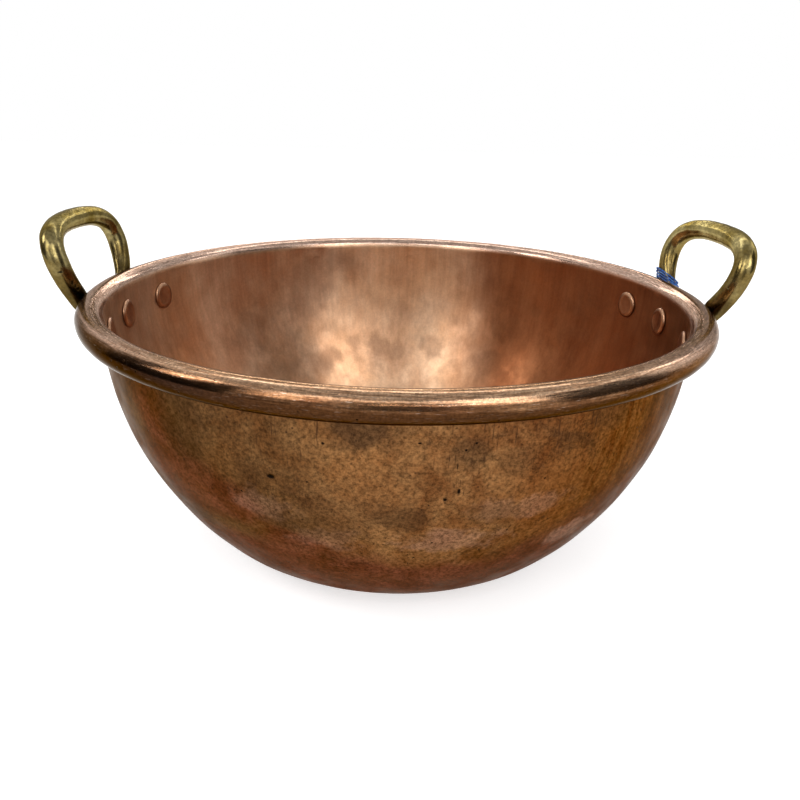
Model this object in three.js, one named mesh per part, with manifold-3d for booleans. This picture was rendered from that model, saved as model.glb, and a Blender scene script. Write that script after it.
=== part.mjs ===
// A copper chocolate pot: an open round bowl raised from one sheet, its edge rolled over an iron
// wire, with two cast brass loop handles riveted on under the roll and a scrap of tag string.
// Millimetres, +Z up. The pot stands on z = 0, its axis is Z and its handles point along +X and -X.

import * as THREE from 'three';
import { mergeVertices } from 'three/addons/utils/BufferGeometryUtils.js';
import Module from 'manifold-3d';

const wasm = await Module();
wasm.setup();

// Bowl
const RIM_RADIUS = 180; // out to the outside of the rolled edge
const SHEET = 2; // thickness of the copper
const ROLL_RADIUS = 7; // outside of the rolled edge, in section
const ROLL_HEIGHT = 141.5; // middle of the rolled edge above the table
const WALL_RADIUS = 172.5; // outside of the wall's arc, in section
const WALL_DROP = 9.5; // the wall is widest this far below the middle of the roll
const BASE_BEND = 54; // outside of the bend from the wall into the flat base
const ROLL_EDGE_GAP = 0.5; // between the sheet's free edge and the wall

// Gap between pieces that touch
const FIT = 0.3;

// Flats that the round shapes are made of
const BOWL_SEGMENTS = 72; // round the pot's axis
const WALL_STEPS = 12;
const BEND_STEPS = 5;
const ROLL_STEPS = 10;
const WIRE_SIDES = 8;
const RIVET_SEGMENTS = 16;
const ROUNDING_STEPS = 4;
const BAR_SIDES = 14;
const FOOT_STEPS = 5;
const LEG_STEPS = 7;
const TOP_STEPS = 9;
const STRING_STEPS = 24; // in each turn
const STRING_SIDES = 6;

// Rivets
const SHANK_RADIUS = 3.2;
const INSIDE_HEAD_RADIUS = 8.7;
const INSIDE_HEAD_HEIGHT = 1.5;
const INSIDE_HEAD_EDGE = 1; // rounding of the inside head's edge
const OUTSIDE_HEAD_RADIUS = 6;
const OUTSIDE_HEAD_HEIGHT = 3;

// Riveting plate of a handle
const PLATE_THICKNESS = 4;
const PLATE_HEIGHT = 14;
const PLATE_MARGIN = 11; // from the farthest rivet to the end of the plate
const PLATE_CORNER = 6;

// Loop of a handle: spreads are from the middle of the handle, heights from the middle of the roll,
// reaches outward from the foot, and sections are half widths along the rim and across it
const ROLL_CLEARANCE = 1; // between the rolled edge and the handle that passes it
const FOOT_SPREAD = 30.5;
const FOOT_SLANT = 0.6; // spread gained for each unit of height at the foot
const FOOT_PULL = 1;
const FOOT_SECTION = [7.1, 4.2];
const SHOULDER_SPREAD = 41.5;
const SHOULDER_HEIGHT = 23;
const SHOULDER_REACH = 4.5;
const SHOULDER_SKEW = 1.4; // the casting's two shoulders reach this much less and this much more
const SHOULDER_LEAN = 0.26; // reach gained for each unit of height at the shoulder
const SHOULDER_PULL = [11, 16]; // below the shoulder and above it
const SHOULDER_SECTION = [6.2, 5.9];
const TOP_HEIGHT = 40.5;
const TOP_REACH = 11;
const TOP_PULL = 20.5; // of the top bar's straight middle along the rim
const TOP_SECTION = [5.9, 5.9];

// Tag string wound round the back leg of the right-hand handle, in slanting turns that are higher
// over the roll than on the outside
const STRING_RADIUS = 0.8;
const STRING_TURNS = 3;
const STRING_FIT = 0.8; // off the bar
const STRING_PITCH = 2.6;
const STRING_START = -0.9; // above the middle of the roll
const STRING_SLANT = 4.5; // each turn's rise and fall to either side of its middle

// The handles were set a little off the pot's long axis, and their rivets were marked out by hand:
// degrees round the pot, from the X axis to a handle's middle and from there to its rivets
const SIDES = [
  { name: 'right', azimuth: 2.6, rivetAngles: [-18.4, -0.3, 14.3] },
  { name: 'left', azimuth: 178.1, rivetAngles: [-14, 2.4, 16.4] },
];

// The arcs of the bowl's section meet without a corner: the roll touches the wall's arc, and the
// base bend touches the wall's arc and the table
const ringRadius = RIM_RADIUS - ROLL_RADIUS;
const rollCentre = new THREE.Vector2(ringRadius, ROLL_HEIGHT);
const wallToRoll = WALL_RADIUS + ROLL_RADIUS - SHEET;
const wallCentre = new THREE.Vector2(
  ringRadius - Math.sqrt(wallToRoll ** 2 - WALL_DROP ** 2),
  ROLL_HEIGHT - WALL_DROP,
);
const wallToBend = WALL_RADIUS - BASE_BEND;
const bendFall = wallCentre.y - BASE_BEND;
const bendCentre = new THREE.Vector2(
  wallCentre.x + Math.sqrt(wallToBend ** 2 - bendFall ** 2),
  BASE_BEND,
);
const bendAngle = -Math.asin(bendFall / wallToBend);
const rollAngle = Math.asin(WALL_DROP / wallToRoll);

// Angle left open in the roll, at which the sheet's free edge still clears the wall
const edgeReach = WALL_RADIUS + ROLL_EDGE_GAP;
const rollOpening = Math.acos(
  (wallToRoll ** 2 + ROLL_RADIUS ** 2 - edgeReach ** 2) / (2 * wallToRoll * ROLL_RADIUS),
);
const rollSweep = 2 * Math.PI - rollOpening;

// How far the flats of a faceted curve stand inside its true arc
function flatDepth(radius, step) {
  return radius * (1 - Math.cos(step / 2));
}

function arcPoints(centre, radius, from, to, steps) {
  const points = [];
  for (let i = 0; i <= steps; i += 1) {
    const angle = from + ((to - from) * i) / steps;
    const spoke = new THREE.Vector2(Math.cos(angle), Math.sin(angle));
    points.push(spoke.multiplyScalar(radius).add(centre));
  }
  return points;
}

// One face of the sheet from the axis to the free edge of the roll. The roll turns outward, so the
// outer face of the wall goes on as the inner face of the roll
function sheetFace(inset) {
  const rollFace = ROLL_RADIUS - SHEET + inset;
  const rollStart = Math.PI + rollAngle;
  const rollEnd = rollStart - rollSweep;
  return [
    new THREE.Vector2(0, inset),
    ...arcPoints(bendCentre, BASE_BEND - inset, -Math.PI / 2, bendAngle, BEND_STEPS),
    ...arcPoints(wallCentre, WALL_RADIUS - inset, bendAngle, rollAngle, WALL_STEPS).slice(1),
    ...arcPoints(rollCentre, rollFace, rollStart, rollEnd, ROLL_STEPS).slice(1),
  ];
}

// A profile of radius and height points, turned about the Z axis
function turned(profile) {
  return new THREE.LatheGeometry(profile, BOWL_SEGMENTS).rotateX(Math.PI / 2);
}

function solidFrom(geometry) {
  const bare = geometry.clone();
  bare.deleteAttribute('normal');
  bare.deleteAttribute('uv');
  const merged = mergeVertices(bare, 1e-4);
  return new wasm.Manifold(new wasm.Mesh({
    numProp: 3,
    vertProperties: new Float32Array(merged.attributes.position.array),
    triVerts: new Uint32Array(merged.index.array),
  }));
}

function geometryFrom(solid) {
  const mesh = solid.getMesh();
  const geometry = new THREE.BufferGeometry();
  geometry.setAttribute('position', new THREE.BufferAttribute(mesh.vertProperties, 3));
  geometry.setIndex(new THREE.BufferAttribute(mesh.triVerts, 1));
  geometry.computeVertexNormals();
  return geometry;
}

// Where a rivet crosses the wall: in the middle of the plate's height, square to the wall
const rivetHeight = ROLL_HEIGHT - ROLL_RADIUS - ROLL_CLEARANCE - PLATE_HEIGHT / 2;
const rivetLean = Math.asin((rivetHeight - wallCentre.y) / WALL_RADIUS);
const rivetSeat = new THREE.Vector3(
  wallCentre.x + WALL_RADIUS * Math.cos(rivetLean),
  0,
  rivetHeight,
);
const turnFlat = flatDepth(rivetSeat.x, (2 * Math.PI) / BOWL_SEGMENTS);
const plateStand = FIT + turnFlat; // off the wall

function rivetTurns(side) {
  return side.rivetAngles.map(THREE.MathUtils.degToRad);
}

function azimuthOf(side) {
  return THREE.MathUtils.degToRad(side.azimuth);
}

// From a rivet's own frame, where X runs outward along its shank, into its handle's frame
function rivetPlace(turn) {
  const place = new THREE.Matrix4().makeRotationZ(turn);
  place.multiply(new THREE.Matrix4().makeTranslation(rivetSeat));
  return place.multiply(new THREE.Matrix4().makeRotationY(-rivetLean));
}

function rivetHole(turn) {
  const radius = SHANK_RADIUS + FIT;
  const length = 4 * (PLATE_THICKNESS + SHEET);
  const hole = new THREE.CylinderGeometry(radius, radius, length, RIVET_SEGMENTS);
  return hole.rotateZ(-Math.PI / 2).applyMatrix4(rivetPlace(turn));
}

function bowlGeometry() {
  const profile = [...sheetFace(0), ...sheetFace(SHEET).reverse()];
  let bowl = solidFrom(turned(profile));
  for (const side of SIDES) {
    for (const turn of rivetTurns(side)) {
      bowl = bowl.subtract(solidFrom(rivetHole(turn).rotateZ(azimuthOf(side))));
    }
  }
  return geometryFrom(bowl);
}

function wireGeometry() {
  const inside = ROLL_RADIUS - SHEET;
  const radius = inside - flatDepth(inside, rollSweep / ROLL_STEPS) - FIT;
  return new THREE.TorusGeometry(ringRadius, radius, WIRE_SIDES, BOWL_SEGMENTS);
}

// Turned about the shank. The flat inside head bridges the hollow of the wall's inner face
function rivetGeometry() {
  const wallInside = rivetSeat.x - SHEET;
  const hollow = wallInside - Math.sqrt(wallInside ** 2 - INSIDE_HEAD_RADIUS ** 2);
  const wallFlat = flatDepth(WALL_RADIUS, (rollAngle - bendAngle) / WALL_STEPS);
  const insideSeat = -SHEET - FIT - hollow - turnFlat - wallFlat;
  const insideFace = insideSeat - INSIDE_HEAD_HEIGHT;
  const outsideSeat = plateStand + PLATE_THICKNESS + FIT;
  const edgeCentre = new THREE.Vector2(
    INSIDE_HEAD_RADIUS - INSIDE_HEAD_EDGE,
    insideFace + INSIDE_HEAD_EDGE,
  );
  const dome = arcPoints(new THREE.Vector2(), 1, 0, Math.PI / 2, ROUNDING_STEPS).map(
    (p) => new THREE.Vector2(p.x * OUTSIDE_HEAD_RADIUS, outsideSeat + p.y * OUTSIDE_HEAD_HEIGHT),
  );
  dome.at(-1).x = 0;
  const profile = [
    new THREE.Vector2(0, insideFace),
    ...arcPoints(edgeCentre, INSIDE_HEAD_EDGE, -Math.PI / 2, 0, ROUNDING_STEPS),
    new THREE.Vector2(INSIDE_HEAD_RADIUS, insideSeat),
    new THREE.Vector2(SHANK_RADIUS, insideSeat),
    new THREE.Vector2(SHANK_RADIUS, outsideSeat),
    ...dome,
  ];
  return new THREE.LatheGeometry(profile, RIVET_SEGMENTS).rotateZ(-Math.PI / 2);
}

// The plate is a rounded rectangle cut from a thick shell that lies on the wall's arc
function plateSolid() {
  const from = rivetLean - PLATE_HEIGHT / WALL_RADIUS;
  const to = rivetLean + PLATE_HEIGHT / WALL_RADIUS;
  const inside = WALL_RADIUS + plateStand;
  const near = arcPoints(wallCentre, inside, from, to, ROUNDING_STEPS);
  const far = arcPoints(wallCentre, inside + PLATE_THICKNESS, from, to, ROUNDING_STEPS);
  const shell = solidFrom(turned([...far, ...near.reverse(), far[0]]));
  const farthestTurn = Math.max(...SIDES.flatMap(rivetTurns).map(Math.abs));
  const halfLength = rivetSeat.x * Math.sin(farthestTurn) + PLATE_MARGIN;
  const halfHeight = PLATE_HEIGHT / 2;
  const outline = new THREE.Shape();
  for (const [x, y, quarter] of [[1, -1, 3], [1, 1, 0], [-1, 1, 1], [-1, -1, 2]]) {
    const centreX = x * (halfLength - PLATE_CORNER);
    const centreY = y * (halfHeight - PLATE_CORNER);
    const start = (quarter * Math.PI) / 2;
    outline.absarc(centreX, centreY, PLATE_CORNER, start, start + Math.PI / 2);
  }
  const options = { depth: RIM_RADIUS, bevelEnabled: false, curveSegments: ROUNDING_STEPS };
  const prism = new THREE.ExtrudeGeometry(outline, options);
  const axes = new THREE.Matrix4().makeBasis(
    new THREE.Vector3(0, 1, 0),
    new THREE.Vector3(0, 0, 1),
    new THREE.Vector3(1, 0, 0),
  );
  prism.applyMatrix4(axes).translate(0, 0, rivetHeight);
  return shell.intersect(solidFrom(prism));
}

// Stations along a curve, whose half widths go smoothly from one section to the next
function curveStations(curve, steps, from, to) {
  return curve.getPoints(steps).map((at, i) => {
    const blend = THREE.MathUtils.smoothstep(i / steps, 0, 1);
    const section = from.map((value, k) => THREE.MathUtils.lerp(value, to[k], blend));
    return { at, outward: new THREE.Vector3(1, 0, 0), section };
  });
}

// The foot goes round the roll at this distance from the middle of its section
const footCentre = Math.sqrt(ringRadius ** 2 - FOOT_SPREAD ** 2);
const footWrap = ROLL_RADIUS + ROLL_CLEARANCE + FOOT_SECTION[1];
const plateMiddle = wallCentre.x + WALL_RADIUS + plateStand + PLATE_THICKNESS / 2;

// The middle line of one half of a handle, way = 1 on its +Y side and -1 on the other: from the
// plate under and round the roll, up the leg and over the shoulder to the middle of the top bar
function handleHalf(way) {
  const foot = new THREE.Vector3(footCentre + footWrap, way * FOOT_SPREAD, ROLL_HEIGHT);
  const shoulder = new THREE.Vector3(
    foot.x + SHOULDER_REACH - way * SHOULDER_SKEW,
    way * SHOULDER_SPREAD,
    ROLL_HEIGHT + SHOULDER_HEIGHT,
  );
  const top = new THREE.Vector3(foot.x + TOP_REACH, 0, ROLL_HEIGHT + TOP_HEIGHT);
  const lean = new THREE.Vector3(SHOULDER_LEAN, 0, 1);
  const leg = new THREE.CubicBezierCurve3(
    foot,
    foot.clone().addScaledVector(new THREE.Vector3(0, way * FOOT_SLANT, 1), FOOT_PULL),
    shoulder.clone().addScaledVector(lean, -SHOULDER_PULL[0]),
    shoulder,
  );
  const bar = new THREE.CubicBezierCurve3(
    shoulder,
    shoulder.clone().addScaledVector(lean, SHOULDER_PULL[1]),
    top.clone().add(new THREE.Vector3(0, way * TOP_PULL, 0)),
    top,
  );
  const wrap = arcPoints(new THREE.Vector2(), 1, -Math.PI / 2, 0, FOOT_STEPS).map((spoke) => ({
    at: new THREE.Vector3(
      footCentre + footWrap * spoke.x,
      way * (FOOT_SPREAD + FOOT_SLANT * footWrap * spoke.y),
      ROLL_HEIGHT + footWrap * spoke.y,
    ),
    outward: new THREE.Vector3(spoke.x, 0, spoke.y),
    section: FOOT_SECTION,
  }));
  const footEdge = way * wrap[0].at.y + FOOT_SECTION[0];
  const insidePlate = Math.sqrt(plateMiddle ** 2 - footEdge ** 2);
  return [
    { ...wrap[0], at: wrap[0].at.clone().setX(insidePlate) },
    ...wrap,
    ...curveStations(leg, LEG_STEPS, FOOT_SECTION, SHOULDER_SECTION).slice(1),
    ...curveStations(bar, TOP_STEPS, SHOULDER_SECTION, TOP_SECTION).slice(1),
  ];
}

// The oval at each station of a bar, square to the bar's way
function barOvals(stations) {
  return stations.map(({ at, outward, section }, i) => {
    const before = stations[Math.max(i - 1, 0)].at;
    const after = stations[Math.min(i + 1, stations.length - 1)].at;
    const along = after.clone().sub(before).normalize();
    const across = outward.clone().addScaledVector(along, -outward.dot(along)).normalize();
    const beside = new THREE.Vector3().crossVectors(along, across);
    return {
      at,
      across: across.multiplyScalar(section[1]),
      beside: beside.multiplyScalar(section[0]),
    };
  });
}

// A closed bar through the ovals of its stations, with flat ends
function sweptBar(stations, sides) {
  const positions = [];
  const index = [];
  const ovals = barOvals(stations);
  for (const { at, across, beside } of ovals) {
    for (let j = 0; j < sides; j += 1) {
      const angle = (2 * Math.PI * j) / sides;
      const point = at.clone().addScaledVector(across, Math.cos(angle));
      positions.push(...point.addScaledVector(beside, Math.sin(angle)));
    }
  }
  const last = (ovals.length - 1) * sides;
  for (let ring = 0; ring < last; ring += sides) {
    for (let j = 0; j < sides; j += 1) {
      const a = ring + j;
      const b = ring + ((j + 1) % sides);
      index.push(a, b, b + sides, a, b + sides, a + sides);
    }
  }
  for (let j = 1; j < sides - 1; j += 1) {
    index.push(0, j + 1, j, last, last + j, last + j + 1);
  }
  const geometry = new THREE.BufferGeometry();
  geometry.setAttribute('position', new THREE.Float32BufferAttribute(positions, 3));
  geometry.setIndex(index);
  geometry.computeVertexNormals();
  return geometry;
}

function handleGeometry(side) {
  const loop = sweptBar([...handleHalf(1), ...handleHalf(-1).reverse().slice(1)], BAR_SIDES);
  let handle = plateSolid().add(solidFrom(loop));
  for (const turn of rivetTurns(side)) {
    handle = handle.subtract(solidFrom(rivetHole(turn)));
  }
  return geometryFrom(handle);
}

// The back leg's level oval at a height, grown by a margin, from the stations on either side of it
function legOval(height, margin) {
  const ovals = barOvals(handleHalf(1));
  const next = ovals.findIndex((oval) => oval.at.z > height);
  const [low, high] = [ovals[next - 1], ovals[next]];
  const share = (height - low.at.z) / (high.at.z - low.at.z);
  const levelHalf = (axis) => {
    const tilted = low[axis].clone().lerp(high[axis], share);
    return ((tilted.length() + margin) * tilted.length()) / Math.hypot(tilted.x, tilted.y);
  };
  return {
    at: low.at.clone().lerp(high.at, share),
    across: levelHalf('across'),
    beside: levelHalf('beside'),
  };
}

// The string's middle line: one slanting helix round the leg, with straight ends as long as the
// string is thick
function stringStations() {
  const section = [STRING_RADIUS, STRING_RADIUS];
  const stations = [];
  for (let i = 0; i <= STRING_TURNS * STRING_STEPS; i += 1) {
    const turn = i / STRING_STEPS;
    const angle = 2 * Math.PI * turn;
    const rise = STRING_START + STRING_PITCH * turn - STRING_SLANT * Math.cos(angle);
    const leg = legOval(ROLL_HEIGHT + rise, STRING_FIT + STRING_RADIUS);
    const outward = new THREE.Vector3(leg.across * Math.cos(angle), leg.beside * Math.sin(angle), 0);
    const at = leg.at.clone().add(outward).setZ(ROLL_HEIGHT + rise);
    stations.push({ at, outward, section });
  }
  const straightOn = (end, neighbour) => {
    const away = end.at.clone().sub(neighbour.at).setLength(2 * STRING_RADIUS);
    return { ...end, at: end.at.clone().add(away) };
  };
  return [
    straightOn(stations[0], stations[1]),
    ...stations,
    straightOn(stations.at(-1), stations.at(-2)),
  ];
}

// Least distance between the string's surface and itself, more than a quarter turn further on
function gapToItself(stations) {
  let least = Infinity;
  for (let i = 0; i < stations.length; i += 1) {
    for (let j = i + STRING_STEPS / 4; j < stations.length; j += 1) {
      least = Math.min(least, stations[i].at.distanceTo(stations[j].at));
    }
  }
  return least - 2 * STRING_RADIUS;
}

function part(name, geometry, material) {
  const mesh = new THREE.Mesh(geometry, material);
  mesh.name = name;
  return mesh;
}

const copper = new THREE.MeshStandardMaterial({ color: 0x94582f, roughness: 0.38, metalness: 1 });
const rivetCopper = new THREE.MeshStandardMaterial({ color: 0x86492a, roughness: 0.42, metalness: 1 });
const iron = new THREE.MeshStandardMaterial({ color: 0x4a4542, roughness: 0.7, metalness: 0.9 });
const brass = new THREE.MeshStandardMaterial({ color: 0x9c8742, roughness: 0.34, metalness: 1 });
const blueString = new THREE.MeshStandardMaterial({ color: 0x1f68d2, roughness: 0.85, metalness: 0 });

const pot = new THREE.Group();
pot.add(part('bowl', bowlGeometry(), copper));

const wire = part('rim_wire', wireGeometry(), iron);
wire.position.z = ROLL_HEIGHT;
pot.add(wire);

for (const side of SIDES) {
  const station = new THREE.Group();
  station.rotation.z = azimuthOf(side);
  station.add(part(`handle_${side.name}`, handleGeometry(side), brass));
  rivetTurns(side).forEach((turn, i) => {
    const rivet = part(`rivet_${side.name}_${i + 1}`, rivetGeometry(), rivetCopper);
    rivet.applyMatrix4(rivetPlace(turn));
    station.add(rivet);
  });
  pot.add(station);
}

const string = stringStations();
const tag = part('tag_string', sweptBar(string, STRING_SIDES), blueString);
tag.rotation.z = azimuthOf(SIDES[0]);
pot.add(tag);
console.log(`tag_string: least gap to itself ${gapToItself(string).toFixed(2)} mm`);

export default pot;
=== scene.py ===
"""A used copper chocolate pot on a plain pale floor: its looks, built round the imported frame.

Shapes, marks, the depths of bumps and the camera are given in millimetres, and become metres
as they are made. Places compared in shaders, the lamps and the cards are in metres.
"""

import math

import bpy
import numpy as np
from mathutils import Matrix, Vector, noise

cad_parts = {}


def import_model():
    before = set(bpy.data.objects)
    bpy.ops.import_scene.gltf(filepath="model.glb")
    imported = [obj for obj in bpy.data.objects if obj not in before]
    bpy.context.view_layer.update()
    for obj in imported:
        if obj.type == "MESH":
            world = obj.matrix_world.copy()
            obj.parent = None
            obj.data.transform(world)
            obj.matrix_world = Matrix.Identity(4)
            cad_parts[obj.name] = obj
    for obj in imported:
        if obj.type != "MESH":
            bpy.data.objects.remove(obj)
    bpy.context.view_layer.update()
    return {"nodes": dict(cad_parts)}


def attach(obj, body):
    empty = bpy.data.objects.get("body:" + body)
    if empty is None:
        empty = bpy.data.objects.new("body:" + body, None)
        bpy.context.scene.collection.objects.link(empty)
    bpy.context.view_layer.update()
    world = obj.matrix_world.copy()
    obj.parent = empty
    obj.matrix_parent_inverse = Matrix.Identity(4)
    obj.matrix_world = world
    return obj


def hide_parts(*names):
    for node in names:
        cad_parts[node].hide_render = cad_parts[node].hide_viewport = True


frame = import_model()

MM = 0.001

# Bowl, as in the frame or 0.1 mm from it
ROLL_RADIUS = 7.0
ROLL_HEIGHT = 141.5
RIM_RADIUS = 179.9
SHEET = 2.0
WALL_RADIUS = 172.4
WALL_DROP = 9.5
BASE_BEND = 54.0
ROLL_EDGE_GAP = 0.6

# Rivets and the handles' plates, as in the frame, with the inside heads 0.1 mm smaller
SHANK_RADIUS = 3.2
HOLE_RADIUS = 3.5
INSIDE_HEAD_RADIUS = 8.6
OUTSIDE_HEAD_RADIUS = 6.0
PLATE_THICKNESS = 4.0
PLATE_HEIGHT = 14.0
PLATE_MARGIN = 11.0
PLATE_CORNER = 6.0
PLATE_STAND = 0.46
RIVET_HEIGHT = 126.5
# Side, azimuth of the handle, and its rivets' angles from there
SIDES = (
    ("right", 2.6, (-18.4, -0.3, 14.3)),
    ("left", 178.1, (-14.0, 2.4, 16.4)),
)

RING_RADIUS = RIM_RADIUS - ROLL_RADIUS
WALL_TO_ROLL = WALL_RADIUS + ROLL_RADIUS - SHEET
WALL_CENTRE = (
    RING_RADIUS - math.sqrt(WALL_TO_ROLL**2 - WALL_DROP**2),
    ROLL_HEIGHT - WALL_DROP,
)
BEND_FALL = WALL_CENTRE[1] - BASE_BEND
WALL_TO_BEND = WALL_RADIUS - BASE_BEND
BEND_CENTRE = (WALL_CENTRE[0] + math.sqrt(WALL_TO_BEND**2 - BEND_FALL**2), BASE_BEND)
BEND_ANGLE = -math.asin(BEND_FALL / WALL_TO_BEND)
ROLL_ANGLE = math.asin(WALL_DROP / WALL_TO_ROLL)
EDGE_REACH = WALL_RADIUS + ROLL_EDGE_GAP
ROLL_OPENING = math.acos(
    (WALL_TO_ROLL**2 + ROLL_RADIUS**2 - EDGE_REACH**2) / (2 * WALL_TO_ROLL * ROLL_RADIUS)
)
RIVET_LEAN = math.asin((RIVET_HEIGHT - WALL_CENTRE[1]) / WALL_RADIUS)
RIVET_SEAT = WALL_CENTRE[0] + WALL_RADIUS * math.cos(RIVET_LEAN)


# Meshes

def new_object(name, points, faces):
    """An object from points in millimetres, with smooth faces."""
    mesh = bpy.data.meshes.new(name)
    mesh.from_pydata([tuple(p) for p in np.asarray(points) * MM], [], faces)
    mesh.validate()
    mesh.shade_smooth()
    thing = bpy.data.objects.new(name, mesh)
    bpy.context.scene.collection.objects.link(thing)
    return thing


def settle(thing):
    """Applies the object's modifiers."""
    depsgraph = bpy.context.evaluated_depsgraph_get()
    mesh = bpy.data.meshes.new_from_object(thing.evaluated_get(depsgraph))
    thing.modifiers.clear()
    old = thing.data
    thing.data = mesh
    bpy.data.meshes.remove(old)
    mesh.shade_smooth()


def drop(thing):
    """Removes an object and its mesh."""
    mesh = thing.data
    bpy.data.objects.remove(thing)
    bpy.data.meshes.remove(mesh)


def grid_faces(rows, columns, first=0):
    """Quads between rows of a closed ring of columns."""
    faces = []
    for i in range(rows - 1):
        for j in range(columns):
            k = (j + 1) % columns
            a = first + i * columns
            faces.append((a + j, a + k, a + columns + k, a + columns + j))
    return faces


def cut_holes(thing, cutters):
    for cutter in cutters:
        cut = thing.modifiers.new("hole", "BOOLEAN")
        cut.operation = "DIFFERENCE"
        cut.solver = "EXACT"
        cut.object = cutter
    settle(thing)
    for cutter in cutters:
        drop(cutter)


def fractal(point, size, octaves):
    """Smooth noise between about -1 and 1, whose features are about size long."""
    return noise.fractal(Vector(point) / size, 1.0, 2.0, octaves)


def displaced(thing, shift):
    """Moves each vertex along its normal by shift(place in millimetres)."""
    mesh = thing.data
    count = len(mesh.vertices)
    places = np.zeros(count * 3)
    normals = np.zeros(count * 3)
    mesh.vertices.foreach_get("co", places)
    mesh.vertices.foreach_get("normal", normals)
    places = places.reshape(-1, 3)
    normals = normals.reshape(-1, 3)
    shifts = np.array([shift(p) for p in places / MM])
    places += normals * shifts[:, None] * MM
    mesh.vertices.foreach_set("co", places.ravel())
    mesh.update()


# Bowl

BOWL_COLUMNS = 360
BASE_RINGS = 11
SHEET_STEP = 2.2
ROLL_STEP = 0.7

# Waves left in the sheet: height, length, octaves and shift of each noise
ROLL_WAVES = ((0.10, 26, 2, 0), (0.035, 7, 1, 300))
WALL_WAVES = ((0.34, 34, 2, 0), (0.07, 11, 1, 500))
CALM_REACH = 22  # the sheet is truer this near to the rivets' height
CALM_LEAST = 0.35  # of the waves, at the rivets' height
BASE_CALM = 30  # the waves grow from none at the base up to this height

# The roll's material: how far from the roll's middle line it reaches, and where round the roll
# it gives way to the wall's, in radians from the inside
ROLL_MARK = 7.4
ROLL_MARK_FADE = 3.0
ROLL_SEAM = -0.8
ROLL_WALL_START = 0.1
ROLL_WALL_FADE = 0.5
ROLL_WALL_END = 0.6


def smooth_step(t):
    t = np.clip(t, 0, 1)
    return t * t * (3 - 2 * t)


def arc(centre, radius, start, end, step):
    """Points and outward directions along an arc, about step apart."""
    count = max(2, round(abs(end - start) * radius / step))
    turns = np.linspace(start, end, count + 1)
    spokes = np.stack([np.cos(turns), np.sin(turns)], 1)
    return np.array(centre) + radius * spokes, spokes


def sheet_profile():
    """The sheet's outer face from the axis to its free edge, its normals and the wall's end."""
    flat = np.linspace(0, BEND_CENTRE[0], BASE_RINGS + 1)[:-1]
    base = np.stack([flat, np.zeros_like(flat)], 1)
    down = np.tile([0.0, -1.0], (len(flat), 1))
    bend, bend_out = arc(BEND_CENTRE, BASE_BEND, -math.pi / 2, BEND_ANGLE, SHEET_STEP)
    wall, wall_out = arc(WALL_CENTRE, WALL_RADIUS, BEND_ANGLE, ROLL_ANGLE, SHEET_STEP)
    start = math.pi + ROLL_ANGLE
    end = start - (2 * math.pi - ROLL_OPENING)
    centre = (RING_RADIUS, ROLL_HEIGHT)
    roll, roll_out = arc(centre, ROLL_RADIUS - SHEET, start, end, ROLL_STEP)
    points = np.concatenate([base, bend, wall[1:], roll[1:]])
    normals = np.concatenate([down, bend_out, wall_out[1:], -roll_out[1:]])
    return points, normals, len(base) + len(bend) + len(wall) - 1


def waves(place, table):
    """Sum of smooth noises, each given by height, length, octaves and shift."""
    return sum(high * fractal(place + shift, long, octaves) for high, long, octaves, shift in table)


def beaten(place, on_roll):
    """How far the sheet stands out from true, after the hammer and years of knocks."""
    if on_roll:
        return waves(place, ROLL_WAVES)
    height = place[2]
    calm = min(1.0, abs(height - RIVET_HEIGHT) / CALM_REACH)
    beat = waves(place, WALL_WAVES) * (CALM_LEAST + (1 - CALM_LEAST) * calm)
    return beat * min(1.0, height / BASE_CALM)


def make_bowl():
    """The sheet's two faces, joined at the free edge in the roll."""
    profile, normals, wall_end = sheet_profile()
    columns = BOWL_COLUMNS
    turns = np.arange(columns) * 2 * math.pi / columns
    outer, inner = [], []
    for i in range(1, len(profile)):
        (r, z), (nr, nz) = profile[i], normals[i]
        for t in turns:
            away = np.array([math.cos(t), math.sin(t), 0.0])
            place = away * r + [0, 0, z]
            normal = away * nr + [0, 0, nz]
            out = beaten(place, i >= wall_end)
            outer.append(place + normal * out)
            inner.append(place + normal * (out - SHEET))
    rows = len(profile) - 1
    points = [[0.0, 0.0, 0.0]] + outer + inner + [[0.0, 0.0, SHEET]]
    first = 1 + rows * columns
    faces = grid_faces(rows, columns, 1)
    faces += [tuple(reversed(f)) for f in grid_faces(rows, columns, first)]
    last = first - columns
    edge = first + (rows - 1) * columns
    top = len(points) - 1
    for j in range(columns):
        k = (j + 1) % columns
        faces.append((0, 1 + k, 1 + j))
        faces.append((top, first + j, first + k))
        faces.append((last + j, last + k, edge + k, edge + j))
    return new_object("copper_bowl", points, faces)


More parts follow.
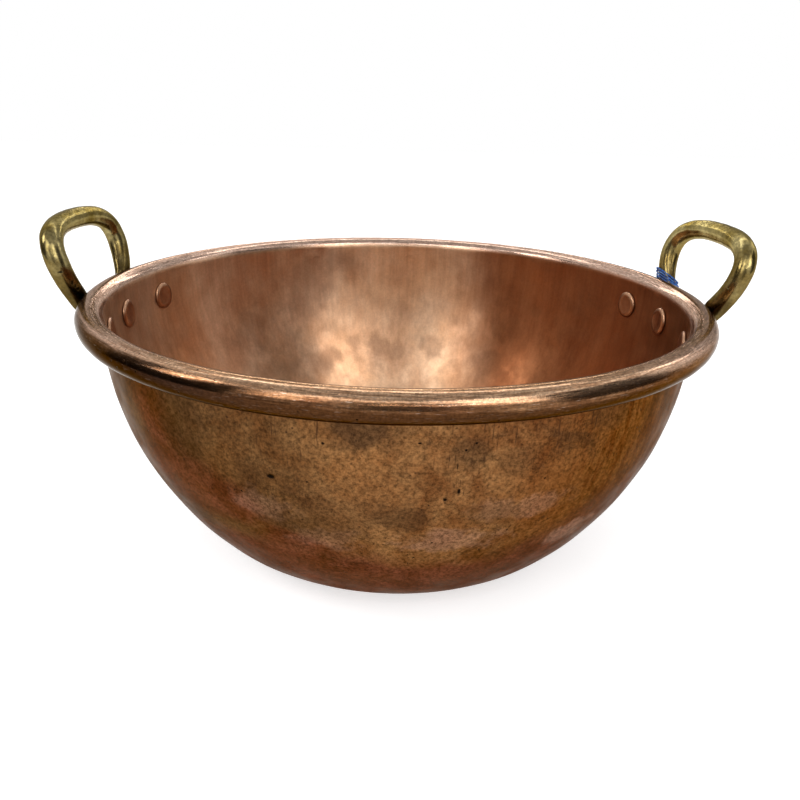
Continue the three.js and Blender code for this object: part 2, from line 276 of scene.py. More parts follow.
def mark_bowl(mesh):
    """Tells the copper's shader which face it is on and how far round the roll it is."""
    count = len(mesh.vertices)
    inner, roll, turn = np.zeros(count), np.zeros(count), np.zeros(count)
    for i, v in enumerate(mesh.vertices):
        x, y, z = np.array(v.co) / MM
        r = math.hypot(x, y)
        away = math.hypot(r - RING_RADIUS, z - ROLL_HEIGHT)
        round_roll = math.atan2(z - ROLL_HEIGHT, RING_RADIUS - r)
        roll[i] = 1 - float(smooth_step((away - ROLL_MARK) / ROLL_MARK_FADE))
        if ROLL_SEAM < round_roll < ROLL_WALL_END:
            roll[i] *= float(smooth_step((round_roll - ROLL_WALL_START) / ROLL_WALL_FADE))
        half_turns = round_roll / math.pi
        turn[i] = (half_turns if round_roll > ROLL_SEAM else 2 + half_turns) / 2
        if math.atan2(z - WALL_CENTRE[1], r - WALL_CENTRE[0]) > BEND_ANGLE:
            depth = WALL_RADIUS - math.hypot(r - WALL_CENTRE[0], z - WALL_CENTRE[1])
        elif r > BEND_CENTRE[0]:
            depth = BASE_BEND - math.hypot(r - BEND_CENTRE[0], z - BEND_CENTRE[1])
        else:
            depth = z
        inner[i] = 1.0 if depth > SHEET / 2 else 0.0
    for name, values in (("inner", inner), ("roll", roll), ("turn", turn)):
        layer = mesh.attributes.new(name, "FLOAT", "POINT")
        layer.data.foreach_set("value", values.astype(np.float32))


# Rivets

WOBBLE_LENGTH = 20
CUT_REACH = 30
CUT_SIDES = 40


def rivet_matrix(azimuth, angle):
    """From a rivet's own frame, with X outward along its shank, into the pot's frame."""
    turn = math.radians(azimuth + angle)
    return (
        Matrix.Rotation(turn, 4, "Z")
        @ Matrix.Translation((RIVET_SEAT, 0, RIVET_HEIGHT))
        @ Matrix.Rotation(-RIVET_LEAN, 4, "Y")
    )


def turned_about_x(name, profile, sides, matrix, wobble=0.0, seed=0.0):
    """A closed turned solid: profile points are (radius, place along X), from axis to axis."""
    points = [(profile[0][1], 0.0, 0.0)]
    for radius, along in profile[1:-1]:
        for j in range(sides):
            t = 2 * math.pi * j / sides
            rough = noise.noise(Vector((math.cos(t) + seed, math.sin(t), along / WOBBLE_LENGTH)))
            r = radius * (1 + wobble * rough * (radius > SHANK_RADIUS))
            points.append((along, r * math.cos(t), r * math.sin(t)))
    points.append((profile[-1][1], 0.0, 0.0))
    rows = len(profile) - 2
    faces = grid_faces(rows, sides, 1)
    last = len(points) - 1
    for j in range(sides):
        k = (j + 1) % sides
        faces.append((0, 1 + k, 1 + j))
        faces.append((last, last - sides + j, last - sides + k))
    placed = [tuple(matrix @ Vector(p)) for p in points]
    return new_object(name, placed, faces)


def hole_cutter(azimuth, angle):
    profile = [(0, -CUT_REACH), (HOLE_RADIUS, -CUT_REACH), (HOLE_RADIUS, CUT_REACH), (0, CUT_REACH)]
    return turned_about_x("cutter", profile, CUT_SIDES, rivet_matrix(azimuth, angle))


RIVET_SIDES = 56
RIVET_WOBBLE = 0.05
INSIDE_HEAD_STAND = 0.62  # off the sheet's inner face
INSIDE_HEAD_HEIGHT = 1.6
DISH = ((0, 0.34), (0.3, 0.32), (0.55, 0.22), (0.64, 0.1), (0.71, 0))  # share of radius, depth
LIP = DISH[-1][0]
LIP_FALL = 1.35
LIP_STEPS = 6
OUTSIDE_HEAD_STAND = 0.3  # off the plate
OUTSIDE_HEAD_HEIGHT = 3
DOME_STEPS = 10
DOME_POWER = 1.2  # above 1 it is a little more pointed than an oval


def make_rivet(name, azimuth, angle, seed):
    """Dished head with a round lip inside the bowl, upset domed head outside."""
    seat = -SHEET - INSIDE_HEAD_STAND
    face = seat - INSIDE_HEAD_HEIGHT
    dome = PLATE_STAND + PLATE_THICKNESS + OUTSIDE_HEAD_STAND
    rim = INSIDE_HEAD_RADIUS
    profile = [(rim * share, face + depth) for share, depth in DISH]
    for step in range(1, LIP_STEPS + 1):
        t = step * math.pi / 2 / LIP_STEPS
        out = LIP + (1 - LIP) * math.sin(t)
        profile.append((rim * out, face + LIP_FALL * (1 - math.cos(t))))
    profile += [(rim, seat), (SHANK_RADIUS, seat), (SHANK_RADIUS, dome)]
    for step in range(DOME_STEPS):
        t = step * math.pi / 2 / DOME_STEPS
        rise = OUTSIDE_HEAD_HEIGHT * math.sin(t) ** DOME_POWER
        profile.append((OUTSIDE_HEAD_RADIUS * math.cos(t), dome + rise))
    profile.append((0, dome + OUTSIDE_HEAD_HEIGHT))
    place = rivet_matrix(azimuth, angle)
    return turned_about_x(name, profile, RIVET_SIDES, place, RIVET_WOBBLE, seed)


# Handles

FOOT_SPREAD = 30.5
FOOT_SLANT = 0.6
FOOT_SECTION = np.array([7.1, 4.2])
SHOULDER = dict(spread=41.5, height=23.0, reach=4.5, skew=1.4, lean=0.26)
SHOULDER_PULL = (11.0, 16.0)
SHOULDER_SECTION = np.array([6.2, 5.9])
TOP_HEIGHT = 40.25
TOP_REACH = 11.0
TOP_PULL = 20.5
TOP_SECTION = np.array([5.9, 5.9])
WRAP_STEPS = 14
LEG_STEPS = 24
BAR_STEPS = 30
PLATE_COLUMNS = 90
PLATE_ROWS = 9
ROLL_CLEARANCE = 1.0
FOOT_CENTRE = math.sqrt(RING_RADIUS**2 - FOOT_SPREAD**2)
FOOT_WRAP = ROLL_RADIUS + ROLL_CLEARANCE + FOOT_SECTION[1]
PLATE_MIDDLE = WALL_CENTRE[0] + WALL_RADIUS + PLATE_STAND + PLATE_THICKNESS / 2


def bezier(points, count):
    a, b, c, d = [np.array(p, float) for p in points]
    t = np.linspace(0, 1, count + 1)[:, None]
    return a * (1 - t) ** 3 + 3 * b * t * (1 - t) ** 2 + 3 * c * t**2 * (1 - t) + d * t**3


def curve_stations(points, count, start, end):
    line = bezier(points, count)
    blend = smooth_step(np.linspace(0, 1, count + 1))[:, None]
    sections = start + (end - start) * blend
    return [(at, np.array([1.0, 0, 0]), section) for at, section in zip(line, sections)]


def handle_half(way):
    """Stations (place, outward, half widths) from the plate to the middle of the top bar."""
    foot = np.array([FOOT_CENTRE + FOOT_WRAP, way * FOOT_SPREAD, ROLL_HEIGHT])
    shoulder = np.array([
        foot[0] + SHOULDER["reach"] - way * SHOULDER["skew"],
        way * SHOULDER["spread"],
        ROLL_HEIGHT + SHOULDER["height"],
    ])
    top = np.array([foot[0] + TOP_REACH, 0, ROLL_HEIGHT + TOP_HEIGHT])
    lean = np.array([SHOULDER["lean"], 0, 1])
    slant = np.array([0, way * FOOT_SLANT, 1])
    leg = [foot, foot + slant, shoulder - lean * SHOULDER_PULL[0], shoulder]
    bar = [shoulder, shoulder + lean * SHOULDER_PULL[1], top + [0, way * TOP_PULL, 0], top]
    wrap = []
    for t in np.linspace(-math.pi / 2, 0, WRAP_STEPS + 1):
        c, s = math.cos(t), math.sin(t)
        at = np.array([
            FOOT_CENTRE + FOOT_WRAP * c,
            way * (FOOT_SPREAD + FOOT_SLANT * FOOT_WRAP * s),
            ROLL_HEIGHT + FOOT_WRAP * s,
        ])
        wrap.append((at, np.array([c, 0, s]), FOOT_SECTION))
    edge = way * wrap[0][0][1] + FOOT_SECTION[0]
    start = wrap[0][0].copy()
    start[0] = math.sqrt(PLATE_MIDDLE**2 - edge**2)
    stations = [(start, wrap[0][1], FOOT_SECTION)] + wrap
    stations += curve_stations(leg, LEG_STEPS, FOOT_SECTION, SHOULDER_SECTION)[1:]
    stations += curve_stations(bar, BAR_STEPS, SHOULDER_SECTION, TOP_SECTION)[1:]
    return stations


def ovals(stations):
    """The middle and the two half-width vectors of the oval at each station."""
    out = []
    for i, (at, outward, section) in enumerate(stations):
        before = stations[max(i - 1, 0)][0]
        after = stations[min(i + 1, len(stations) - 1)][0]
        along = (after - before) / np.linalg.norm(after - before)
        across = outward - along * outward.dot(along)
        across /= np.linalg.norm(across)
        beside = np.cross(along, across)
        out.append((at, across * section[1], beside * section[0]))
    return out


def swept(name, rings, sides):
    """A closed tube through ovals, with flat ends."""
    points = []
    for at, across, beside in rings:
        for j in range(sides):
            t = 2 * math.pi * j / sides
            points.append(at + across * math.cos(t) + beside * math.sin(t))
    faces = grid_faces(len(rings), sides)
    last = (len(rings) - 1) * sides
    faces.append(tuple(reversed(range(sides))))
    faces.append(tuple(range(last, last + sides)))
    return new_object(name, points, faces)


def plate_object():
    """The riveting plate: a rounded strip that lies round the wall, in the handle's frame."""
    farthest = max(abs(angle) for _, _, angles in SIDES for angle in angles)
    half_length = RIVET_SEAT * math.sin(math.radians(farthest)) + PLATE_MARGIN
    half_height = PLATE_HEIGHT / 2
    columns, rows = PLATE_COLUMNS, PLATE_ROWS
    inside = WALL_RADIUS + PLATE_STAND
    points = []
    for depth in (0.0, PLATE_THICKNESS):
        for i in range(columns + 1):
            y = half_length * (2 * i / columns - 1)
            past = max(0.0, abs(y) - (half_length - PLATE_CORNER))
            lost = PLATE_CORNER - math.sqrt(max(PLATE_CORNER**2 - past**2, 0.04))
            for k in range(rows + 1):
                z = (half_height - lost) * (2 * k / rows - 1) + RIVET_HEIGHT
                high = z - WALL_CENTRE[1]
                radius = WALL_CENTRE[0] + math.sqrt((inside + depth) ** 2 - high**2)
                points.append((math.sqrt(radius**2 - y**2), y, z))
    side = (columns + 1) * (rows + 1)
    faces = []
    for i in range(columns):
        for k in range(rows):
            a = i * (rows + 1) + k
            b = a + rows + 1
            faces.append((a, a + 1, b + 1, b))
            faces.append((side + a, side + b, side + b + 1, side + a + 1))
    border = [i * (rows + 1) for i in range(columns + 1)]
    border += [columns * (rows + 1) + k for k in range(1, rows + 1)]
    border += [i * (rows + 1) + rows for i in range(columns - 1, -1, -1)]
    border += [k for k in range(rows - 1, 0, -1)]
    for a, b in zip(border, border[1:] + border[:1]):
        faces.append((a, b, side + b, side + a))
    return new_object("plate", points, faces)


def joined(name, parts):
    """One mesh from several, as they are."""
    points, faces = [], []
    for part in parts:
        first = len(points)
        points += [v.co / MM for v in part.data.vertices]
        faces += [tuple(first + v for v in p.vertices) for p in part.data.polygons]
        drop(part)
    return new_object(name, points, faces)


CAST_VOXEL = 0.64
FILLET_FACTOR = 0.5
FILLET_ROUNDS = 9
BAR_SIDES = 36
CAST_WAVES = ((0.22, 17, 2, 0), (0.06, 4.5, 2, 0))


def make_handle(name, azimuth, angles, seed):
    """Bar and plate grown into one casting, with soft fillets, a cast skin and drilled holes."""
    rings = ovals(handle_half(1) + handle_half(-1)[::-1][1:])
    handle = joined(name, [plate_object(), swept("bar", rings, BAR_SIDES)])
    remesh = handle.modifiers.new("cast", "REMESH")
    remesh.mode = "VOXEL"
    remesh.voxel_size = CAST_VOXEL * MM
    smooth = handle.modifiers.new("fillet", "SMOOTH")
    smooth.factor = FILLET_FACTOR
    smooth.iterations = FILLET_ROUNDS
    settle(handle)
    handle.data.transform(Matrix.Rotation(math.radians(azimuth), 4, "Z"))
    displaced(handle, lambda place: waves(place + seed, CAST_WAVES))
    cut_holes(handle, [hole_cutter(azimuth, angle) for angle in angles])
    return handle


# Tag string

STRING_TURNS = 5
STRING_STEPS = 72  # in each turn
STRING_PITCH = 1.6
STRING_START = -0.9  # above the middle of the roll
STRING_SLANT = 4.5  # each turn's rise and fall to either side of its middle
STRING_RADIUS = 0.56
STRING_OFF = 0.34  # off the leg
STRING_STRAY = 0.9
STRANDS = 3
STRAND_RADIUS = 0.258
STRAND_LAY = 3.4  # along the string for one twist
STRAND_SIDES = 10


def leg_oval(rings, height, margin):
    """The back leg's level oval at a height, grown by a margin."""
    after = next(i for i, ring in enumerate(rings) if ring[0][2] > height)
    low, high = rings[after - 1], rings[after]
    share = (height - low[0][2]) / (high[0][2] - low[0][2])
    middle = low[0] + (high[0] - low[0]) * share
    halves = []
    for axis in (1, 2):
        tilted = low[axis] + (high[axis] - low[axis]) * share
        length = np.linalg.norm(tilted)
        halves.append((length + margin) * length / math.hypot(tilted[0], tilted[1]))
    return middle, halves


def string_line():
    """The string's middle line round the leg, a little uneven from turn to turn."""
    rings = ovals(handle_half(1))
    line = []
    for i in range(STRING_TURNS * STRING_STEPS + 1):
        turn = i / STRING_STEPS
        t = 2 * math.pi * turn
        stray = noise.noise(Vector((turn * 2.3, 0.5, 7.7))) * STRING_STRAY
        lift = abs(noise.noise(Vector((turn * 3.1, 4.5, 0.2)))) * STRING_STRAY / 2
        height = ROLL_HEIGHT + STRING_START + STRING_PITCH * turn
        height += stray - STRING_SLANT * math.cos(t)
        middle, (across, beside) = leg_oval(rings, height, STRING_OFF + STRING_RADIUS + lift)
        x, y = middle[0] + across * math.cos(t), middle[1] + beside * math.sin(t)
        line.append(np.array([x, y, height]))
    return line


def make_string(azimuth):
    """Three strands twisted round each other along the string's middle line."""
    line = string_line()
    along = np.gradient(np.array(line), axis=0)
    steps = np.linalg.norm(along, axis=1)
    along /= steps[:, None]
    run = np.concatenate([[0], np.cumsum(steps[1:])])
    up = np.array([0, 0, 1.0])
    parts = []
    for strand in range(STRANDS):
        rings = []
        for at, way, far in zip(line, along, run):
            side = np.cross(way, up)
            side /= np.linalg.norm(side)
            over = np.cross(side, way)
            t = 2 * math.pi * (far / STRAND_LAY + strand / STRANDS)
            away = side * math.cos(t) + over * math.sin(t)
            middle = at + away * (STRING_RADIUS - STRAND_RADIUS)
            rings.append((middle, away * STRAND_RADIUS, np.cross(way, away) * STRAND_RADIUS))
        parts.append(swept("strand", rings, STRAND_SIDES))
    string = joined("blue_string", parts)
    string.data.transform(Matrix.Rotation(math.radians(azimuth), 4, "Z"))
    return string


# Shader helpers

class Nodes:
    """Adds nodes to the tree of a material or a world."""

    def __init__(self, owner, output):
        owner.use_nodes = True
        self.owner = owner
        self.tree = owner.node_tree
        self.tree.nodes.clear()
        self.output = self.tree.nodes.new(output)

    def node(self, kind, values=None, **settings):
        made = self.tree.nodes.new(kind)
        for key, value in settings.items():
            setattr(made, key, value)
        for key, value in (values or {}).items():
            self.put(made.inputs[key], value)
        return made

    def put(self, socket, value):
        if isinstance(value, bpy.types.NodeSocket):
            self.tree.links.new(value, socket)
        elif isinstance(value, tuple) and socket.type == "RGBA" and len(value) == 3:
            socket.default_value = (*value, 1.0)
        else:
            socket.default_value = value

    def math(self, operation, a, b=0.0):
        return self.node("ShaderNodeMath", {0: a, 1: b}, operation=operation).outputs[0]

    def looked_at(self):
        """1 where the camera looks, straight or by a mirror or glass, and 0 for light cast."""
        path = self.node("ShaderNodeLightPath").outputs
        seen = self.math("MAXIMUM", path["Is Camera Ray"], path["Is Glossy Ray"])
        return self.math("MAXIMUM", seen, path["Is Transmission Ray"])

    def finish(self, surface):
        self.tree.links.new(surface, self.output.inputs["Surface"])
        return self.owner


class Shader(Nodes):
    """Builds one material's nodes."""

    def __init__(self, name):
        super().__init__(bpy.data.materials.new(name), "ShaderNodeOutputMaterial")
        self.coords = self.node("ShaderNodeTexCoord").outputs["Object"]

    def attribute(self, name):
        return self.node("ShaderNodeAttribute", attribute_name=name).outputs["Fac"]

    def stretched(self, scale):
        values = {"Vector": self.coords, "Scale": scale}
        return self.node("ShaderNodeMapping", values).outputs[0]

    def noise(self, scale, detail=3.0, roughness=0.55, vector=None, distortion=0.0):
        values = {
            "Vector": vector or self.coords,
            "Scale": scale,
            "Detail": detail,
            "Roughness": roughness,
            "Distortion": distortion,
        }
        return self.node("ShaderNodeTexNoise", values).outputs["Fac"]

    def cells(self, scale):
        values = {"Vector": self.coords, "Scale": scale}
        return self.node("ShaderNodeTexVoronoi", values).outputs["Distance"]

    def between(self, value, low, high, start=0.0, end=1.0):
        """Goes smoothly from start to end as value goes from low to high."""
        values = {"Value": value, 1: low, 2: high, 3: start, 4: end}
        made = self.node("ShaderNodeMapRange", values, interpolation_type="SMOOTHSTEP")
        return made.outputs[0]

    def mix(self, share, a, b, blend="MIX"):
        made = self.node("ShaderNodeMix", data_type="RGBA", blend_type=blend)
        for socket, value in ((0, share), (6, a), (7, b)):
            self.put(made.inputs[socket], value)
        return made.outputs[2]

    def times(self, colour, factor):
        return self.mix(1.0, colour, factor, "MULTIPLY")

    def wavering(self, value, scale, detail, reach):
        """The value pushed up and down by noise, by up to half of reach."""
        swing = self.math("SUBTRACT", self.noise(scale, detail), 0.5)
        return self.math("ADD", value, self.math("MULTIPLY", swing, reach))

    def spot(self, centre, radii, rough, size):
        """A soft ragged patch round a place in millimetres: 1 inside, 0 outside."""
        values = {
            "Vector": self.coords,
            "Location": tuple(-c / r for c, r in zip(centre, radii)),
            "Scale": tuple(1 / (r * MM) for r in radii),
        }
        placed = self.node("ShaderNodeMapping", values).outputs[0]
        away = self.node("ShaderNodeVectorMath", {0: placed}, operation="LENGTH").outputs["Value"]
        return self.between(self.wavering(away, size, 4, rough * 4), 1.3, 0.5)

    def worst(self, value, patches, rough, size):
        """The largest of value and of each patch's own strength where it lies."""
        for middle, radii, strength in patches:
            spot = self.math("MULTIPLY", self.spot(middle, radii, rough, size), strength)
            value = self.math("MAXIMUM", value, spot)
        return value

    def marks(self, places, rough, size):
        """1 in any of the places and 0 elsewhere."""
        return self.worst(0.0, [(*place, 1.0) for place in places], rough, size)

    def bump(self, height, distance, strength, normal=None):
        values = {"Height": height, "Distance": distance * MM, "Strength": strength}
        if normal is not None:
            values["Normal"] = normal
        return self.node("ShaderNodeBump", values).outputs[0]

    def principled(self, values):
        return self.finish(self.node("ShaderNodeBsdfPrincipled", values).outputs[0])


def dress(thing, material):
    thing.data.materials.clear()
    thing.data.materials.append(material)


# Materials

# Patches on the bowl: middle and radii in millimetres, and strength
DARK_STAINS = (
    ((-95, -138, 117), (15, 20, 26), 0.6),
    ((-14, -168, 127), (16, 20, 7), 0.8),
    ((-62, -154, 99), (7, 20, 12), 0.35),
    ((0, -162, 86), (14, 20, 9), 0.6),
    ((-22, -160, 84), (24, 20, 17), 0.38),
    ((-40, -157, 76), (26, 20, 9), 0.5),
    ((29, -165, 119), (10, 20, 8), 0.55),
    ((48, -157, 112), (9, 20, 8), 0.35),
    ((40, -157, 86), (14, 20, 7), 0.35),
    ((92, -141, 128), (12, 16, 10), 0.45),
    ((60, 150, 88), (30, 24, 20), 0.5),
    ((-90, 138, 110), (22, 24, 16), 0.6),
)
# Red patches: painted shade where the copper mirrors the shadowed floor under the pot
RED_PATCHES = (
    ((-112, -124, 112), (14, 16, 22), 0.9),
    ((-98, -118, 84), (36, 34, 26), 0.9),
    ((-78, -140, 78), (22, 24, 17), 0.9),
    ((-48, -146, 58), (26, 24, 14), 0.9),
    ((118, -100, 60), (60, 50, 26), 0.8),
    ((120, 110, 70), (50, 50, 40), 0.7),
)
# Pale patches: painted highlights
PAINTED_HIGHLIGHTS = (
    ((-60, -150, 83), (15, 16, 8), 0.12),
    ((-31, -155, 70), (16, 16, 8), 0.12),
    ((44, -157, 88), (13, 16, 6), 0.12),
    ((60, -150, 87), (17, 16, 6), 0.14),
    ((24, -155, 70), (24, 16, 7), 0.18),
    ((84, -126, 58), (17, 12, 7), 0.30),
    ((-60, 148, 74), (30, 24, 12), 0.10),
)
INSIDE_STAINS = (
    ((-9, 148, 57), (17, 20, 14), 0.5),
    ((-36, 145, 64), (9, 20, 7), 0.4),
    ((3, 148, 68), (15, 20, 26), 0.22),
    ((30, 146, 60), (12, 20, 9), 0.45),
    ((-60, 136, 52), (14, 20, 10), 0.4),
    ((79, 124, 54), (16, 20, 12), 0.35),
    ((-48, 159, 131), (18, 20, 9), 0.35),
    ((-70, 142, 114), (17, 20, 30), 0.3),
    ((-116, 109, 84), (14, 20, 20), 0.35),
    ((30, -140, 60), (30, 20, 16), 0.4),
)
# Small deep marks: middle and radii
NICKS = (
    ((-52.6, -156.8, 102.2), (1.9, 4, 1.3)),
    ((19.5, -163.1, 96.0), (1.0, 4, 0.9)),
    ((25.0, -163.2, 100.4), (0.7, 4, 1.5)),
    ((23.5, -163.0, 113.0), (0.35, 4, 2.4)),
    ((-30.0, -166.0, 122.0), (0.7, 4, 0.6)),
    ((8.0, -166.0, 124.0), (0.9, 4, 0.5)),
)
BRASS_PITS = (
    ((-183.5, -40.3, 159.8), (4, 0.6, 0.6)),
    ((-180.2, -35.8, 152.9), (4, 0.7, 1.3)),
    ((-179.6, -33.8, 150.6), (4, 0.5, 0.9)),
    ((-179.4, -31.8, 148.6), (4, 1.0, 1.0)),
    ((186.5, -35.0, 158.0), (4, 0.6, 0.6)),
)

# The denoiser takes a roughness under about 0.27 for a mirror's, so no range crosses that
INSIDE_ROUGHNESS = (0.285, 0.44)
OUTSIDE_ROUGHNESS = (0.32, 0.48)
ROLL_ROUGHNESS = (0.10, 0.22)
BRASS_ROUGHNESS = (0.20, 0.27)
RIVET_ROUGHNESS = (0.285, 0.38)
IRON_ROUGHNESS = (0.5, 0.75)
STRING_ROUGHNESS = (0.55, 0.75)


class Copper(Shader):
    """The bowl's copper, with what its three faces share."""

    def __init__(self, name):
        super().__init__(name)
        self.inner = self.attribute("inner")
        self.roll = self.attribute("roll")
        self.turn = self.attribute("turn")
        split = self.node("ShaderNodeSeparateXYZ", {0: self.coords})
        self.across, self.depth, self.height = [split.outputs[axis] for axis in "XYZ"]
        self.cloud = self.between(self.noise(52, 6, 0.66, distortion=0.5), 0.34, 0.68)
        self.grain = self.noise(560, 6, 0.78)
        self.upright = self.noise(1.0, 5, 0.6, self.stretched((300, 300, 22)))
        self.patch = self.between(self.noise(15, 4, 0.6), 0.36, 0.64)


def copper_outside(s):
    """Golden brown where it was handled and scoured. Darker and redder towards the bottom and in
    the red patches, and darker at the left and right: painted shade for the shadowed floor and dark
    room mirrored in the copper. The pale patches are painted highlights.
    """
    gold = s.mix(s.patch, (0.215, 0.090, 0.029), (0.135, 0.051, 0.016))
    gold = s.mix(s.math("MULTIPLY", s.cloud, 0.65), gold, (0.30, 0.152, 0.058))
    on_right = s.between(s.across, 0.045, 0.10)
    brushed = s.mix(s.between(s.upright, 0.4, 0.6), (0.135, 0.047, 0.012), (0.225, 0.10, 0.03))
    gold = s.mix(s.math("MULTIPLY", on_right, 0.8), gold, brushed)
    # Painted shade: the left side darker, for a dark room mirrored in the copper.
    shade = s.between(s.wavering(s.across, 20, 4, 0.06), -0.012, -0.060, 1.0, 0.52)
    gold = s.times(gold, shade)
    # Painted shade: the right side darker, for a dark room mirrored in the copper.
    painted_shade_right = s.mix(s.between(s.across, 0.035, 0.060), (1.0, 1.0, 1.0), (0.76, 0.64, 0.56))
    gold = s.times(gold, painted_shade_right)
    # Painted shade: darker and redder towards the bottom and in the red patches, for the shadowed
    # floor under the pot mirrored in the copper.
    red = s.mix(s.cloud, (0.085, 0.024, 0.009), (0.150, 0.048, 0.024))
    red_low_shade = s.between(s.wavering(s.height, 16, 5, 0.05), 0.068, 0.050)
    red_low_shade = s.worst(red_low_shade, RED_PATCHES, 0.35, 40)
    outside = s.mix(red_low_shade, gold, red)
    # Painted highlights: the pale patches.
    pale = s.worst(0.0, PAINTED_HIGHLIGHTS, 0.7, 110)
    outside = s.mix(pale, outside, (0.50, 0.30, 0.21))
    stain = s.math("MULTIPLY", s.between(s.noise(30, 8, 0.72, distortion=0.8), 0.54, 0.70), 0.6)
    stain = s.worst(stain, DARK_STAINS, 0.5, 90)
    outside = s.mix(stain, outside, (0.050, 0.024, 0.011))
    outside = s.times(outside, s.between(s.grain, 0.30, 0.70, 0.36, 1.58))
    line = s.noise(1.0, 2, 0.5, s.stretched((900, 900, 45)))
    line = s.math("MULTIPLY", s.between(line, 0.62, 0.70), s.between(s.noise(28, 3), 0.46, 0.58))
    outside = s.mix(s.math("MULTIPLY", line, 0.7), outside, (0.040, 0.018, 0.009))
    speck = s.between(s.cells(300), 0.20, 0.08)
    speck = s.math("MULTIPLY", speck, s.between(s.noise(75, 4, 0.7), 0.50, 0.62))
    return s.mix(s.math("MULTIPLY", speck, 0.8), outside, (0.02, 0.010, 0.006))


def copper_inside(s):
    """Scoured nearly bare and clouded in upright streaks, with painted shade at the sides. Also
    gives how dull it is.
    """
    inside = s.mix(s.patch, (0.70, 0.475, 0.32), (0.61, 0.37, 0.22))
    streak = s.between(s.noise(1.0, 4, 0.55, s.stretched((42, 42, 9))), 0.36, 0.66)
    inside = s.mix(s.math("MULTIPLY", streak, 0.55), inside, (0.44, 0.22, 0.11))
    dull = s.math("MULTIPLY", s.between(s.noise(26, 5, 0.55, distortion=0.4), 0.50, 0.74), 0.28)
    dull = s.worst(dull, INSIDE_STAINS, 0.55, 85)
    inside = s.mix(dull, inside, (0.24, 0.135, 0.082))
    # Painted shade: darker brown towards the right and in a band on the left, where the copper
    # mirrors dark surroundings.
    brown_left = s.between(s.across, -0.040, -0.068, 0.0, 0.32)
    brown_left = s.math("MULTIPLY", brown_left, s.between(s.across, -0.105, -0.082, 0.35, 1.0))
    brown = s.math("MAXIMUM", s.between(s.across, 0.036, 0.090), brown_left)
    inside = s.times(inside, s.mix(brown, (1.0, 0.97, 0.93), (0.42, 0.24, 0.145)))
    inside = s.times(inside, s.between(s.grain, 0.30, 0.70, 0.88, 1.08))
    return s.times(inside, s.between(s.upright, 0.3, 0.7, 0.90, 1.07)), dull


def copper_roll(s, along, rubbed):
    """Rubbed bright on top, darker down its outer side and underneath and more so on the left as
    painted shade with some dirt, with marks that run round it.
    """
    ragged = s.math("ADD", s.turn, s.math("MULTIPLY", s.math("SUBTRACT", rubbed, 0.5), 0.14))
    # On the left the darker bands reach higher: painted shade.
    ragged = s.math("ADD", ragged, s.between(s.across, 0.05, -0.13, 0.0, 0.07))
    front = s.between(s.depth, -0.10, -0.165)
    worn = s.between(rubbed, 0.35, 0.65)
    pink = s.mix(worn, (0.52, 0.335, 0.25), (0.74, 0.53, 0.42))
    honey = s.mix(worn, (0.41, 0.22, 0.120), (0.70, 0.45, 0.28))
    top = s.mix(front, pink, honey)
    # Painted shade with some dirt: the roll's outer side and underside darker, and darker still on
    # the left.
    side = s.mix(s.cloud, (0.15, 0.064, 0.028), (0.28, 0.142, 0.068))
    side = s.mix(s.between(s.across, -0.06, -0.13, 0.0, 0.75), side, (0.050, 0.026, 0.017))
    underside_shade_and_grime = s.mix(s.between(s.across, -0.11, -0.03), (0.030, 0.014, 0.009), (0.070, 0.028, 0.010))
    low = s.between(ragged, 0.45, 0.53)
    rim = s.mix(s.between(ragged, 0.38, 0.45), top, side)
    rim = s.mix(low, rim, underside_shade_and_grime)
    rim = s.times(rim, s.between(s.noise(200, 4, 0.7, along), 0.3, 0.7, 0.60, 1.26))
    rim = s.times(rim, s.between(s.noise(800, 3, 0.7), 0.3, 0.7, 0.72, 1.22))
    # Bright bare scratches running round the roll; on the dark underside they also stand in as
    # painted highlight streaks.
    scratch = s.between(s.noise(240, 2, 0.5, along), 0.64, 0.72)
    bare = s.math("MULTIPLY", scratch, s.math("SUBTRACT", 0.5, s.math("MULTIPLY", low, 0.38)))
    return s.mix(bare, rim, (0.74, 0.57, 0.47))


def copper_nicks(s):
    """The placed nicks and a scatter of small pocks, on the outside and the roll only."""
    often = s.between(
        s.noise(60, 3), s.math("SUBTRACT", 0.5, s.math("MULTIPLY", s.roll, 0.06)), 0.6
    )
    pock = s.math("MULTIPLY", s.between(s.cells(170), 0.11, 0.05), often)
    nick = s.math("MAXIMUM", s.marks(NICKS, 0.2, 600), pock)
    return s.math("MULTIPLY", nick, s.math("SUBTRACT", 1.0, s.inner))


def scouring(s):
    """The way of the scouring marks: up and down on the sheet, and round on the roll."""
    ring = s.node("ShaderNodeTangent", direction_type="RADIAL", axis="Z").outputs[0]
    normal = s.node("ShaderNodeNewGeometry").outputs["Normal"]
    values = {0: normal, 1: ring}
    rise = s.node("ShaderNodeVectorMath", values, operation="CROSS_PRODUCT").outputs[0]
    tangent = s.node("ShaderNodeMix", {0: s.roll, 4: rise, 5: ring}, data_type="VECTOR")
    return tangent.outputs[1]


